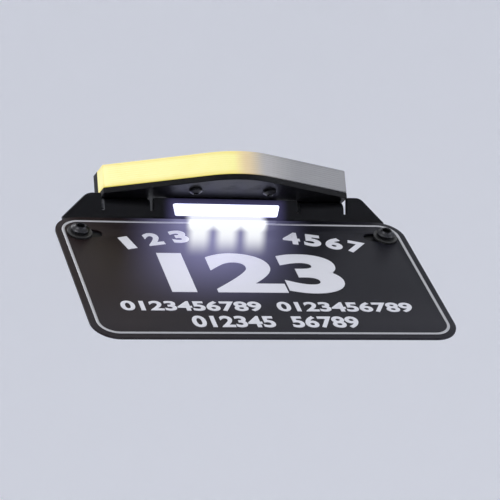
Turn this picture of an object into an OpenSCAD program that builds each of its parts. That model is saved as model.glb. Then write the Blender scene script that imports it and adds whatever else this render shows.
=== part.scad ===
// Tail tidy for a sports motorcycle: a folded sheet bracket that carries a chevron signal bar,
// a plate light and a number plate. Millimetres. +X is the machine's right, +Y its front, +Z up.
// The origin is the centre of the four mounting holes, on the top face of the tongue.

/* [Mounting plate] */
// Thickness of the mounting plate's sheet
sheet_t = 3; // [2:0.5:4]
// Inner radius of the mounting plate's folds
sheet_r = 3; // [1:0.5:5]
// Width of the tongue across its side flanges
tongue_w = 76; // [70:1:84]
// From the centre of the mounting holes back to the fold of the shelf
tongue_back = 48; // [46:1:70]
// Depth of the tongue's side flanges, from the top face down
flange_h = 12; // [9:1:20]
// Mounting holes apart, across the tongue
mount_x = 50; // [40:1:52]
// Mounting holes apart, along the tongue
mount_y = 60; // [40:1:62]
// Diameter of the mounting holes
mount_d = 6.5; // [5.5:0.1:8.5]
// From the front mounting holes to the tongue's front edge
mount_edge = 10; // [8:1:20]
// Rise of the shelf towards the back, in degrees
shelf_angle = 15; // [10:1:17]
// From the fold up the shelf to the ends of the signal bar
shelf_run = 36; // [36:1:50]
// Diameter of the hole for the wires' grommet
wire_hole_d = 16; // [12:0.5:18]

/* [Signal bar] */
// Width of the signal bar
bar_w = 125; // [120:1:128]
// Height of the signal bar, square to the shelf
bar_h = 11.5; // [10:0.5:16]
// How far the bar's point stands behind its ends, before rounding
bar_point = 28.5; // [22:0.5:32]
// Radius that rounds the bar's point
bar_point_r = 36; // [30:1:44]
// Thickness of the bar from lens to back wall
bar_depth = 15.5; // [15:0.5:18]
// Wall of the signal bar's housing
bar_wall = 1.8; // [1.2:0.2:2.2]
// Thickness of the signal bar's lens
lens_t = 2; // [1.5:0.1:2.4]
// Width of the bar's screws apart
bar_screw_x = 37.6; // [36:0.2:44]
// From the line between the bar's ends back to its screws
bar_screw_back = 8.2; // [7.8:0.1:9]
// Lamps along each half of the bar
bar_lamps = 6; // [3:1:8]

/* [Plate bracket] */
// Thickness of the plate bracket's sheet
bracket_t = 2.5; // [2:0.5:3]
// Inner radius of the plate bracket's folds
bracket_r = 2; // [1:0.5:3]
// How far the web stands in front of the signal bar's ends
web_inset = 1.5; // [1:0.5:4]
// Height of the web, from the shelf down to the leaning flange
web_h = 10.9; // [10.6:0.1:20]
// Width of the web at its top corners
web_top_w = 140; // [134:1:150]
// From the number plate's side edges in to the leaning flange
lean_inset = 2.9; // [2:0.1:5]
// Length of the leaning flange
lean_l = 74; // [60:1:90]
// Lean of the number plate from the vertical, in degrees
lean_angle = 55; // [30:1:60]
// Width of each top tab
tab_w = 23; // [21:0.5:24]
// Length of each top tab
tab_l = 26; // [25:0.5:27]

/* [Plate light] */
// Width of the plate light's window at the top
window_w = 54.4; // [40:0.2:55]
// Height of the plate light's window
window_h = 5.8; // [5:0.1:6]
// How far the plate light's lens stands out of the web
window_proud = 1.5; // [0.5:0.1:2.5]
// Depth of the plate light's housing behind the web
light_depth = 6; // [5.6:0.1:6.2]
// Lamps in the plate light
light_lamps = 3; // [2:1:4]

/* [Number plate] */
// Width of the number plate
plate_w = 177.8; // [176:0.2:200]
// Height of the number plate
plate_h = 101.6; // [90:0.2:130]
// Thickness of the number plate
plate_t = 1.2; // [0.8:0.1:2]
// Radius of the number plate's corners
plate_corner = 12.7; // [8:0.1:16]
// From the number plate's edge to the middle of its raised border
border_in = 3.75; // [3:0.05:5]
// Width of the raised border
border_w = 1.5; // [1:0.1:2]
// From the number plate's side edges in to its bolts
plate_bolt_in = 11.2; // [10.5:0.1:14]
// From the number plate's top edge down to its bolts
plate_bolt_down = 14.3; // [12:0.1:16]

/* [Hidden] */
$fn = 64;

// Colours
black_coat = [0.06, 0.06, 0.065];
black_plastic = [0.09, 0.09, 0.09];
black_rubber = [0.13, 0.13, 0.13];
black_steel = [0.16, 0.16, 0.17];
zinc = [0.7, 0.7, 0.72];
frosted = [0.86, 0.86, 0.84];
clear_white = [0.93, 0.96, 1];
board_green = [0.1, 0.3, 0.2];
amber = [1, 0.7, 0.2];
plate_black = [0.1, 0.1, 0.12];

// Clearances
cut = 1;                 // how far a cutter passes the face that it cuts
loose = 0.3;             // between pieces that only lie near each other
snug = 0.1;              // round a piece that slides into another
hole_gap = 0.3;          // round a bolt in its hole
thread_gap = 0.05;       // round a bolt in its nut, and round a bush in its hole
seat = 0.02;             // between coated faces that are bolted together

// Fasteners: thread, head diameter, head height, socket across flats
m3 = 3;
m4 = 4;
m5 = 5;
m6 = 6;
m4_head = [7.6, 2.2, 2.5];
m5_head = [9.5, 2.75, 3];
m5_washer_d = 10;
m6_head = [10.5, 3.3, 4];
m3_nut = [5.5, 2.4];
m5_nut = [8, 5];
m6_nut = [10, 6];
washer_t = 1.2;

// Shelf: sizes along the slope are measured back from the fold, as negative Y
tongue_half = tongue_w / 2;
tongue_front = mount_y / 2 + mount_edge;
bar_half = bar_w / 2;
edge_angle = atan(bar_point / bar_half);
point_y = -(shelf_run + bar_point);
shelf_lip = 0.3;         // the bar's lens stands this far over the shelf's edge
waist_half = 52;         // half the width of the sheet across the shelf's fold
shoulder_back = 9;       // where the shelf reaches its full width
shoulder_front = 14;     // where the tongue reaches its own width
shelf_fold = [-tongue_back + sheet_r * tan(shelf_angle / 2), sheet_r];

// Plate bracket: the web's back face, its top corner under the shelf and its foot
web_y = -tongue_back - shelf_run * cos(shelf_angle) + web_inset;
tab_top = -sheet_t - seat;                // the tabs' upper face, square to the shelf
tab_under = tab_top - bracket_t;
tab_corner_y = (web_y + tongue_back - tab_top * sin(shelf_angle)) / cos(shelf_angle);
web_top_z = shelf_point(tab_corner_y, tab_top)[1];
web_foot_z = web_top_z - web_h;
tab_bend_r = bracket_r + bracket_t;
tab_bend_h = tab_bend_r * tan(45 + shelf_angle / 2);
foot_bend_h = bracket_r * tan(lean_angle / 2);
foot_fold = [web_y - bracket_r, web_foot_z + foot_bend_h];
tab_fold = [web_y + tab_bend_r, web_top_z - tab_bend_h];
tab_outer = bar_half - 1;
tab_inner = tab_outer - tab_w;
tab_corner = 4;          // corners cut off the tabs
relief = 1.5;            // slot beside each tab that lets it fold
fold_step = 7.5;         // each flat of a fold's curve turns by this many degrees at most
arc_gap = 0.015;         // the flats of an outline's curve stay this close to the true arc
wing_rise = 1;           // how far the web's wings stand above the shelf's underside
wing_top = web_top_z + wing_rise;
web_edge_z = web_top_z - bracket_t * tan(shelf_angle) - loose;
lean_w = plate_w - 2 * lean_inset;
web_foot_half = lean_w / 2 - 3.6;
wing_in = tab_outer + relief;
wing_w = web_top_w / 2 - wing_in;
wing_turn = atan2(wing_top - web_foot_z, web_foot_half - web_top_w / 2);
wing_flat = 2;           // the wing's top keeps this much beside its round
wing_corner = min(6, (wing_w - wing_flat) / tan(wing_turn / 2));

// Top of a wing: flat with a round corner, or on a narrow web the point where its side meets the slot
wing_tip = wing_w > wing_flat
  ? [[wing_in, wing_top, 1], [web_top_w / 2, wing_top, wing_corner]]
  : [[wing_in, wing_top + wing_w * tan(wing_turn), 0]];

// Bolts between the mounting plate and the bracket's tabs
tab_bolt_in = 20;        // from the line between the bar's ends forward to the tabs' bolts
tab_bolt_y = -(shelf_run - tab_bolt_in);
tab_bolt_apart = 12;
tab_bolt_mid = (tab_inner + tab_outer) / 2;
tab_bolt_xs = [for (side = [-1, 1], k = [-0.5, 0.5]) side * tab_bolt_mid + k * tab_bolt_apart];

// Number plate: sizes on the leaning face are measured down from the web's foot
plate_gap = 1.1;         // from the end of the fold down to the plate's top edge
plate_down = foot_bend_h + plate_gap;
bolt_down = plate_down + plate_bolt_down;
plate_bolt_x = plate_w - 2 * plate_bolt_in;
slot_l = 15;
slot_h = 7;
slot_in = 3.7;           // the bolts lie this far outside the middle of their slots
border_rise = 0.4;

// Plate light
light_wall = 1;
window_drop = light_wall + loose + (bracket_t + light_depth) * tan(shelf_angle);
window_top = web_top_z - window_drop;
window_mid = window_top - window_h / 2;
window_taper = 1.3;      // each end of the window draws in by this much at its foot
light_ear_w = 8.2;
light_ear_t = 1.6;
light_chip_step = 14;
light_half = window_w / 2 + light_wall + snug;
stud_x = light_half + 4;
stud_l = 8;
stud_head_d = 4.6;
stud_head_t = 1.6;

// Signal bar: depths are measured square to its face
bar_z_mid = bar_h / 2;
lip_depth = 1.5;
end_return = 9;
bar_board_t = 1.6;
bar_board_depth = 4.5;
bar_chip_t = 0.9;
bar_board_in = bar_point_r * sin(edge_angle) + 2.7;
bar_board_out = bar_half - lens_t - bar_wall - 2;
boss_d = 7;

// A point of the shelf's own frame, where the fold is Y 0 and the top face is Z 0, as [Y, Z]
function shelf_point(y, z) = [
  y * cos(shelf_angle) + z * sin(shelf_angle) - tongue_back,
  z * cos(shelf_angle) - y * sin(shelf_angle)
];

// A point of the leaning face: y up the face from the web's foot, z out of it, as [Y, Z]
function lean_point(y, z) = [
  web_y + y * sin(lean_angle) - z * cos(lean_angle),
  web_foot_z + y * cos(lean_angle) + z * sin(lean_angle)
];

// Moves a piece from the shelf's own frame onto the slope
module on_shelf() {
  translate([0, -tongue_back, 0]) rotate([-shelf_angle, 0, 0]) children();
}

// Moves a piece of the signal bar onto the shelf
module on_bar() {
  on_shelf() translate([0, 0, seat]) children();
}

// Moves a piece onto the leaning face: X across, Y up the face, Z out of it, from the web's foot
module on_lean() {
  translate([0, web_y, web_foot_z]) rotate([90 - lean_angle, 0, 0]) children();
}

// Turns a plate drawn in X and Z into one that stands on the web's back face, going forward
module on_web(depth) {
  translate([0, web_y + depth, 0]) rotate([90, 0, 0]) linear_extrude(depth) children();
}

// Puts children on both sides
module both_sides() {
  for (side = [-1, 1]) scale([side, 1, 1]) children();
}

// Points of one face of a fold: an arc about its centre from angle a0 to a1
function fold(centre, r, a0, a1) =
  let (n = ceil(abs(a1 - a0) / fold_step))
  [for (i = [0:n]) centre + r * [cos(a0 + (a1 - a0) * i / n), sin(a0 + (a1 - a0) * i / n)]];

// Draws a sheet's profile, given in Y and Z, along X
module along_x(x0, x1) {
  translate([x0, 0, 0]) rotate([90, 0, 90]) linear_extrude(x1 - x0) children();
}

// Everything outside an outline, within a rectangle, as a cutter from below a sheet to rise above it
module trim(low, high, depth, rise = cut) {
  translate([0, 0, -depth - cut]) linear_extrude(depth + cut + rise) difference() {
    translate(low) square(high - low);
    children();
  }
}

// Outline with rounded corners: each point is [x, y, radius]
function corner(p, q, s) =
  let (a = [p[0] - q[0], p[1] - q[1]], b = [s[0] - q[0], s[1] - q[1]],
       ua = a / norm(a), ub = b / norm(b), turn = acos(max(-1, min(1, ua * ub))),
       reach = q[2] / tan(turn / 2), mid = (ua + ub) / norm(ua + ub),
       centre = [q[0], q[1]] + mid * q[2] / sin(turn / 2),
       start = [q[0], q[1]] + ua * reach, stop = [q[0], q[1]] + ub * reach,
       a0 = atan2(start[1] - centre[1], start[0] - centre[0]),
       a1 = atan2(stop[1] - centre[1], stop[0] - centre[0]),
       sweep = a1 - a0 > 180 ? a1 - a0 - 360 : a1 - a0 < -180 ? a1 - a0 + 360 : a1 - a0,
       steps = max(2, ceil(abs(sweep) / (2 * acos(1 - arc_gap / q[2])))))
  [for (i = [0:steps]) centre + q[2] * [cos(a0 + sweep * i / steps), sin(a0 + sweep * i / steps)]];
function rounded(points) =
  [for (i = [0:len(points) - 1])
    let (q = points[i], p = points[(i + len(points) - 1) % len(points)],
         s = points[(i + 1) % len(points)])
    each q[2] > 0 ? corner(p, q, s) : [[q[0], q[1]]]];

// Rectangle with round corners, about the origin
module round_rect(w, h, r) {
  square([w - 2 * r, h], center = true);
  square([w, h - 2 * r], center = true);
  for (x = [-1, 1], y = [-1, 1]) translate([x * (w / 2 - r), y * (h / 2 - r)]) circle(r);
}

// Slot with round ends, along X
module slot(length, width) {
  square([length - width, width], center = true);
  for (x = [-1, 1]) translate([x * (length - width) / 2, 0]) circle(d = width);
}

// Everything in front of the bar's face, set in square to it, out to half and forward to front_y
module chevron(inset, half, front_y) {
  tip_y = point_y + inset / cos(edge_angle);
  side_y = tip_y + half * tan(edge_angle);
  polygon(rounded([[-half, side_y, 0], [0, tip_y, bar_point_r - inset], [half, side_y, 0],
                   [half, front_y, 0], [-half, front_y, 0]]));
}

// Band of the chevron between two depths behind the face
module band(from, to, half) {
  difference() {
    chevron(from, half, cut);
    chevron(to, half + cut, 2 * cut);
  }
}

// Puts a piece square behind the right half's face, at a depth from the point of the face at x
module on_face(x, depth, z) {
  translate([x, point_y + x * tan(edge_angle), z]) rotate([0, 0, edge_angle])
    translate([0, depth, 0]) children();
}

// Button head bolt: the head stands on Z 0 and the shank goes down
module button_bolt(d, head, length) {
  dome_r = (pow(head[0] / 2, 2) + pow(head[1], 2)) / (2 * head[1]) * 1.15;
  difference() {
    union() {
      translate([0, 0, -length]) cylinder(d = d, h = length);
      intersection() {
        cylinder(d = head[0], h = head[1]);
        translate([0, 0, head[1] - dome_r]) sphere(dome_r);
      }
    }
    translate([0, 0, head[1] - head[1] * 0.6]) cylinder(d = head[2] / cos(30), h = head[1], $fn = 6);
  }
}

// Lock nut: a hexagon with a collar, standing on Z 0 and going up
module lock_nut(d, nut) {
  hex_h = nut[1] * 0.72;
  difference() {
    union() {
      cylinder(d = nut[0] / cos(30), h = hex_h, $fn = 6);
      cylinder(d = nut[0] * 0.94, h = nut[1]);
    }
    translate([0, 0, -cut]) cylinder(d = d + 2 * thread_gap, h = nut[1] + 2 * cut);
  }
}

module washer(d, outer) {
  difference() {
    cylinder(d = outer, h = washer_t);
    translate([0, 0, -cut]) cylinder(d = d + hole_gap, h = washer_t + 2 * cut);
  }
}

// Rubber bush with a collar outside a wall and a lip inside it, along Z from the wall's outer face
module bush(hole_d, bore_d, wall, collar_d, collar_h, lip_d, lip_h) {
  rotate_extrude() difference() {
    union() {
      translate([0, seat]) square([collar_d / 2, collar_h]);
      translate([0, -wall - seat]) square([hole_d / 2 - thread_gap, wall + 2 * seat]);
      translate([0, -wall - seat - lip_h]) square([lip_d / 2, lip_h]);
    }
    translate([0, -wall - lip_h - cut]) square([bore_d / 2, collar_h + wall + lip_h + 2 * cut]);
  }
}

// Mounting plate: tongue, fold and chevron shelf, cut from one sheet
wire_hole_in = 17;       // from the tongue's back end in to the hole for the wires
wire_hole_y = -tongue_back + wire_hole_in;
flange_back = -tongue_back + shoulder_front + 2;
flange_front = tongue_front - 8;
flange_r = sheet_r + sheet_t;
flange_corner = 5;
flat_half = tongue_half - flange_r;
light_hole_d = 14;
shoulder_y = -tongue_back - shoulder_back;

// Outline of the tongue and the shelf's shoulders from above, notched where the side flanges begin and end
module tongue_outline() {
  right = [
    [bar_half + 2 * cut, shoulder_y - 2 * cut, 0], [bar_half + 2 * cut, shoulder_y, 0],
    [waist_half, -tongue_back - 2, 3], [waist_half, -tongue_back + 2, 3],
    [flat_half, -tongue_back + shoulder_front, 3], [flat_half, flange_back, 0],
    [tongue_half, flange_back, 0], [tongue_half, flange_front, 0],
    [flat_half, flange_front, 0], [flat_half, tongue_front, 6]
  ];
  left = [for (i = [len(right) - 1:-1:0]) [-right[i][0], right[i][1], right[i][2]]];
  polygon(rounded(concat(right, left)));
}

// Cross-section of the tongue's side flange on the right: the fold and the upright
module flange_section() {
  polygon(concat(
    [[flat_half - cut, 0]], fold([flat_half, -flange_r], flange_r, 90, 0), [[tongue_half, -flange_h],
    [tongue_half - sheet_t, -flange_h]], fold([flat_half, -flange_r], sheet_r, 0, 90),
    [[flat_half - cut, -sheet_t]]
  ));
}

module mounting_plate() color(black_coat) {
  end_y = point_y - cut;
  difference() {
    union() {
      difference() {
        along_x(-bar_half, bar_half) polygon(concat(
          [[tongue_front, -sheet_t], [tongue_front, 0]],
          fold(shelf_fold, sheet_r, -90, -90 - shelf_angle),
          [shelf_point(end_y, 0), shelf_point(end_y, -sheet_t)],
          fold(shelf_fold, sheet_r + sheet_t, -90 - shelf_angle, -90)));
        trim([-bar_half - cut, shoulder_y - cut], [bar_half + cut, tongue_front + cut], sheet_t,
             (shoulder_back + cut) * tan(shelf_angle) + cut)
          difference() {
            tongue_outline();
            for (side = [-1, 1]) translate([side * tongue_half, (flange_back + flange_front) / 2])
              square([2 * flange_r, flange_front - flange_back + 2 * cut], center = true);
          }
        on_shelf() trim([-bar_half - cut, end_y - cut], [bar_half + cut, -shelf_run + 2 * cut], sheet_t)
          chevron(shelf_lip, bar_half + 2 * cut, 0);
      }
      both_sides() translate([0, flange_front, 0]) rotate([90, 0, 0])
        linear_extrude(flange_front - flange_back) flange_section();
    }
    both_sides() for (y = [flange_back, flange_front]) translate([tongue_half, y, -flange_h])
      rotate([0, 90, 0]) cylinder(r = flange_corner, h = 3 * sheet_t, center = true, $fn = 4);
    for (x = [-1, 1], y = [-1, 1])
      translate([x * mount_x / 2, y * mount_y / 2, -sheet_t - cut])
        cylinder(d = mount_d, h = sheet_t + 2 * cut);
    translate([0, wire_hole_y, -sheet_t - cut]) cylinder(d = wire_hole_d, h = sheet_t + 2 * cut);
    for (y = [-0.1, 0.3]) translate([0, y * mount_y, -sheet_t - cut])
      cylinder(d = light_hole_d, h = sheet_t + 2 * cut);
    on_shelf() {
      for (x = tab_bolt_xs) translate([x, tab_bolt_y, -sheet_t - cut])
        cylinder(d = m5 + 2 * hole_gap, h = sheet_t + 2 * cut);
      for (x = [-1, 1]) translate([x * bar_screw_x / 2, -shelf_run - bar_screw_back, -sheet_t - cut])
        cylinder(d = m4 + 2 * hole_gap, h = sheet_t + 2 * cut);
    }
  }
}

// Plate bracket: two tabs, the web with the light's window, and the leaning flange, all one sheet
module web_outline() {
  tab_z = tab_fold[1];
  foot_z = web_foot_z;
  right = [
    [tab_inner - relief, web_edge_z, 0.8], [tab_inner - relief, tab_z - relief, 0.7],
    [tab_inner, tab_z - relief, 0], [tab_inner, tab_z, 0],
    [tab_outer, tab_z, 0], [tab_outer, tab_z - relief, 0], [wing_in, tab_z - relief, 0.7],
    each wing_tip, [web_foot_half, foot_z, 0]
  ];
  left = [for (i = [len(right) - 1:-1:0]) [-right[i][0], right[i][1], right[i][2]]];
  polygon(rounded(concat(left, right)));
}

module window_outline(grow) {
  top = window_w / 2 + grow;
  foot = window_w / 2 - window_taper + grow;
  polygon(rounded([[-foot, window_top - window_h - grow, 0.8], [foot, window_top - window_h - grow, 0.8],
                   [top, window_top + grow, 0.8], [-top, window_top + grow, 0.8]]));
}

module lean_outline() {
  half = lean_w / 2;
  fold_y = bracket_r + bracket_t;
  neck_y = -foot_bend_h - 0.6;
  polygon(rounded([
    [-web_foot_half, fold_y, 0], [-web_foot_half, neck_y, 0], [-half, neck_y - 4.4, 3],
    [-half, -bolt_down - 9, 8], [-half * 0.52, -lean_l, 8], [half * 0.52, -lean_l, 8],
    [half, -bolt_down - 9, 8], [half, neck_y - 4.4, 3], [web_foot_half, neck_y, 0],
    [web_foot_half, fold_y, 0]
  ]));
}

// Profile of a tab: a short stretch of the web, the fold over its top and the tab under the shelf
module tab_profile() {
  web_z = tab_fold[1] - relief / 2;
  tab_y = tab_corner_y + tab_l;
  polygon(concat(
    [[web_y + bracket_t, web_z], [web_y, web_z]],
    fold(tab_fold, tab_bend_r, 180, 90 - shelf_angle),
    [shelf_point(tab_y, tab_top), shelf_point(tab_y, tab_under)],
    fold(tab_fold, bracket_r, 90 - shelf_angle, 180)));
}

module plate_bracket() color(black_coat) {
  half = lean_w / 2;
  difference() {
    union() {
      difference() {
        along_x(-half, half) polygon(concat(
          [[web_y + bracket_t, wing_top + cut], [web_y, wing_top + cut]],
          fold(foot_fold, bracket_r, 0, -lean_angle),
          [lean_point(-lean_l - cut, 0), lean_point(-lean_l - cut, -bracket_t)],
          fold(foot_fold, bracket_r + bracket_t, -lean_angle, 0)));
        translate([0, web_y, 0]) rotate([90, 0, 0])
          trim([-half - cut, web_foot_z], [half + cut, wing_top + 2 * cut], bracket_t) web_outline();
        on_lean() trim([-half - cut, -lean_l - 2 * cut], [half + cut, bracket_r + bracket_t], bracket_t)
          lean_outline();
      }
      both_sides() along_x(tab_inner, tab_outer) tab_profile();
    }
    translate([0, -cut, 0]) on_web(bracket_t + 2 * cut) window_outline(snug);
    for (x = [-1, 1]) translate([x * stud_x, web_y + bracket_t - stud_head_t, window_mid])
      rotate([-90, 0, 0]) cylinder(d = stud_head_d + 2 * thread_gap, h = stud_head_t + cut);
    both_sides() on_shelf() for (y = [tab_corner_y + tab_l], x = [tab_inner, tab_outer])
      translate([x, y, tab_under - cut]) cylinder(r = tab_corner, h = bracket_t + 2 * cut, $fn = 4);
    on_shelf() for (x = tab_bolt_xs) translate([x, tab_bolt_y, tab_under - cut])
      cylinder(d = m5 + 2 * hole_gap, h = bracket_t + 2 * cut);
    on_lean() {
      for (x = [-1, 1]) translate([x * plate_bolt_x / 2, -bolt_down, -bracket_t - cut])
        cylinder(d = m6 + 2 * hole_gap, h = bracket_t + 2 * cut);
      for (x = [-1.5:1:1.5]) translate([x * lean_w / 6, -bolt_down - 9, -bracket_t - cut])
        cylinder(d = light_hole_d, h = bracket_t + 2 * cut);
    }
  }
}

// Signal bar housing: a moulded channel, open towards the lens
module light_bar_housing() color(black_plastic) {
  inner_half = bar_half - lens_t;
  cavity_half = inner_half - bar_wall;
  on_bar() difference() {
    union() {
      difference() {
        linear_extrude(bar_h) difference() {
          band(lens_t, bar_depth, bar_half);
          difference() {
            both_sides() translate([inner_half, -shelf_run - cut]) square([bar_half, 2 * end_return]);
            chevron(end_return, 2 * bar_half, 2 * bar_half);
          }
        }
        translate([0, 0, bar_wall]) linear_extrude(bar_h - 2 * bar_wall)
          band(0, bar_depth - bar_wall, cavity_half);
      }
      both_sides() {
        for (x = [bar_board_in, bar_board_out])
          on_face(x, bar_board_depth - 0.8, 0) translate([-1.5, 0, 0]) cube([3, bar_board_t + 1.6, bar_h]);
        translate([bar_screw_x / 2, -shelf_run - bar_screw_back, 0]) cylinder(d = boss_d, h = bar_h);
      }
    }
    for (side = [-1, 1]) scale([side, 1, 1]) bar_board_space(snug);
    for (x = [-1, 1]) translate([x * bar_screw_x / 2, -shelf_run - bar_screw_back, -cut])
      cylinder(d = m4 + 2 * thread_gap, h = cut + 8);
    on_face(bar_gland_x, bar_depth - bar_wall - cut, bar_z_mid) rotate([-90, 0, 0])
      cylinder(d = bar_gland_d, h = bar_wall + 2 * cut);
  }
}
bar_gland_x = 36;
bar_gland_d = 6;

// The room of one circuit board in the right half of the bar
module bar_board_space(grow) {
  length = (bar_board_out - bar_board_in) / cos(edge_angle);
  edge = bar_wall + loose - grow;
  on_face(bar_board_in, bar_board_depth - grow, edge) translate([-grow, 0, 0])
    cube([length + 2 * grow, bar_board_t + 2 * grow, bar_h - 2 * edge]);
}

// Signal bar lens: the face, its short ends and a lip that plugs into the housing
module light_bar_lens() color(frosted) {
  lip_half = bar_half - lens_t - bar_wall - snug;
  lip_wall = 1;
  lip_z = bar_wall + snug;
  on_bar() difference() {
    union() {
      linear_extrude(bar_h) difference() {
        band(0, end_return, bar_half);
        chevron(lens_t, bar_half - lens_t, cut);
      }
      translate([0, 0, lip_z]) linear_extrude(bar_h - 2 * lip_z)
        band(lens_t / 2, lens_t + lip_depth, lip_half);
    }
    translate([0, 0, lip_z + lip_wall]) linear_extrude(bar_h - 2 * (lip_z + lip_wall))
      band(lens_t, lens_t + lip_depth + cut, lip_half - lip_wall);
  }
}

// Circuit board of one half of the bar, and its lamps
module led_board() {
  color(board_green) on_bar() bar_board_space(0);
}

module led_chips() {
  chip = [3.5, bar_chip_t, 2.8];
  first = bar_board_in + 4;
  step = (bar_board_out - bar_board_in - 8) / (bar_lamps - 1);
  color(amber) on_bar() for (i = [0:bar_lamps - 1])
    on_face(first + i * step, bar_board_depth - bar_chip_t, bar_z_mid)
      translate([-chip[0] / 2, 0, -chip[2] / 2]) cube(chip);
}

module left_led_board() { scale([-1, 1, 1]) led_board(); }
module right_led_board() { led_board(); }
module left_led_chips() { scale([-1, 1, 1]) led_chips(); }
module right_led_chips() { led_chips(); }

// Screws that come up through the shelf into the bar's bosses
module light_bar_screws() color(black_steel) {
  on_shelf() for (x = [-1, 1])
    translate([x * bar_screw_x / 2, -shelf_run - bar_screw_back, -sheet_t - seat]) rotate([180, 0, 0])
      button_bolt(m4, m4_head, sheet_t + bar_screw_bite);
}
bar_screw_bite = 6;       // how far these screws reach into the bosses

// Rubber gland in the bar's back wall, for its cable
module light_bar_gland() color(black_rubber) {
  on_bar() on_face(bar_gland_x, bar_depth, bar_z_mid) rotate([-90, 0, 0])
    bush(bar_gland_d, 3.6, bar_wall, 8, 3, 7, 1);
}

// Plate light: housing with ears, clear lens through the window, board and lamps
module plate_light_housing() color(black_plastic) {
  box_y = web_y + bracket_t;
  outer_h = window_h + 2 * light_wall + 2 * snug;
  difference() {
    union() {
      translate([-light_half, box_y, window_mid - outer_h / 2]) cube([2 * light_half, light_depth, outer_h]);
      translate([0, bracket_t, 0]) on_web(light_ear_t) translate([0, window_mid])
        round_rect(2 * (light_half + light_ear_w), outer_h, 2.5);
    }
    translate([0, bracket_t - cut, 0]) on_web(light_depth - light_wall + cut) window_outline(snug);
    for (x = [-1, 1]) translate([x * stud_x, box_y - cut, window_mid]) rotate([-90, 0, 0])
      cylinder(d = m3 + 2 * hole_gap, h = light_ear_t + 2 * cut);
    translate([light_gland_x, box_y, window_mid]) rotate([-90, 0, 0])
      cylinder(d = light_gland_d, h = light_depth + cut);
  }
}
light_gland_in = 9.2;     // from the window's end in to the light's gland
light_gland_x = window_w / 2 - light_gland_in;
light_gland_d = 4.6;

module plate_light_lens() color(clear_white) {
  translate([0, -window_proud, 0]) on_web(window_proud + bracket_t + 1) window_outline(0);
}

light_board_t = 1.2;
light_chip_t = 1;
light_board_y = web_y + bracket_t + light_depth - light_wall - light_board_t;

module plate_light_board() color(board_green) {
  w = window_w - 2 * window_taper - 1;
  h = window_h - 0.6;
  difference() {
    translate([-w / 2, light_board_y, window_mid - h / 2]) cube([w, light_board_t, h]);
    translate([light_gland_x, light_board_y - cut, window_mid]) rotate([-90, 0, 0])
      cylinder(d = 2, h = light_board_t + 2 * cut);
  }
}

module plate_light_chips() color(clear_white) {
  chip = [5, light_chip_t, 3];
  step = light_chip_step;
  for (i = [0:light_lamps - 1])
    translate([(i - (light_lamps - 1) / 2) * step, light_board_y - light_chip_t, window_mid])
      translate([-chip[0] / 2, 0, -chip[2] / 2]) cube(chip);
}

module plate_light_gland() color(black_rubber) {
  collar = [3, 2.5];
  bore_r = 1.4;
  translate([light_gland_x, web_y + bracket_t + light_depth, window_mid]) rotate([-90, 0, 0])
    rotate_extrude() difference() {
      union() {
        square(collar);
        translate([0, -light_wall]) square([light_gland_d / 2 - thread_gap, light_wall]);
      }
      translate([0, -light_wall - cut]) square([bore_r, light_wall + collar[1] + 2 * cut]);
    }
}

module plate_light_studs() color(zinc) {
  for (x = [-1, 1]) translate([x * stud_x, web_y + bracket_t, window_mid]) rotate([-90, 0, 0]) {
    cylinder(d = m3, h = stud_l);
    translate([0, 0, -stud_head_t]) cylinder(d = stud_head_d, h = stud_head_t);
  }
}

module plate_light_nuts() color(zinc) {
  for (x = [-1, 1]) translate([x * stud_x, web_y + bracket_t + light_ear_t, window_mid]) rotate([-90, 0, 0])
    lock_nut(m3, m3_nut);
}

// Number plate: flat sheet with round corners, two slots at its top and a raised border
module number_plate() color(plate_black) {
  on_lean() translate([0, -plate_down - plate_h / 2, seat]) difference() {
    union() {
      linear_extrude(plate_t) round_rect(plate_w, plate_h, plate_corner);
      linear_extrude(plate_t + border_rise) difference() {
        round_rect(plate_w - 2 * border_in + border_w, plate_h - 2 * border_in + border_w,
                   plate_corner - border_in + border_w / 2);
        round_rect(plate_w - 2 * border_in - border_w, plate_h - 2 * border_in - border_w,
                   plate_corner - border_in - border_w / 2);
      }
    }
    for (x = [-1, 1])
      translate([x * (plate_bolt_x / 2 - slot_in), plate_h / 2 - plate_bolt_down, -cut])
        linear_extrude(plate_t + border_rise + 2 * cut) slot(slot_l, slot_h);
  }
}

// Bolts, washers and nuts of the number plate
plate_washer_d = 12;

module at_plate_bolts(z) {
  on_lean() for (x = [-1, 1]) translate([x * plate_bolt_x / 2, -bolt_down, z]) children();
}

module plate_bolts() color(black_steel) {
  at_plate_bolts(seat + plate_t + washer_t)
    button_bolt(m6, m6_head, plate_t + washer_t + bracket_t + m6_nut[1] + 1);
}

module plate_bolt_washers() color(black_plastic) {
  at_plate_bolts(seat + plate_t) washer(m6, plate_washer_d);
}

module plate_bolt_nuts() color(zinc) {
  at_plate_bolts(-bracket_t - seat) rotate([180, 0, 0]) lock_nut(m6, m6_nut);
}

// Bolts, washers and nuts that join the two sheets
module at_tab_bolts(z) {
  on_shelf() for (x = tab_bolt_xs) translate([x, tab_bolt_y, z]) children();
}

module bracket_bolts() color(black_steel) {
  at_tab_bolts(seat) button_bolt(m5, m5_head, sheet_t + bracket_t + washer_t + m5_nut[1] + 1);
}

module bracket_washers() color(zinc) {
  at_tab_bolts(tab_under - seat - washer_t) washer(m5, m5_washer_d);
}

module bracket_nuts() color(zinc) {
  at_tab_bolts(tab_under - seat - washer_t) rotate([180, 0, 0]) lock_nut(m5, m5_nut);
}

// Rubber grommet in the tongue, for the wires
module wire_grommet() color(black_rubber) {
  wall = 3;
  collar = 2;
  translate([0, wire_hole_y, 0])
    bush(wire_hole_d, wire_hole_d - 2 * wall, sheet_t, wire_hole_d + 2 * collar, collar,
         wire_hole_d + 2 * collar, collar);
}

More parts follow.
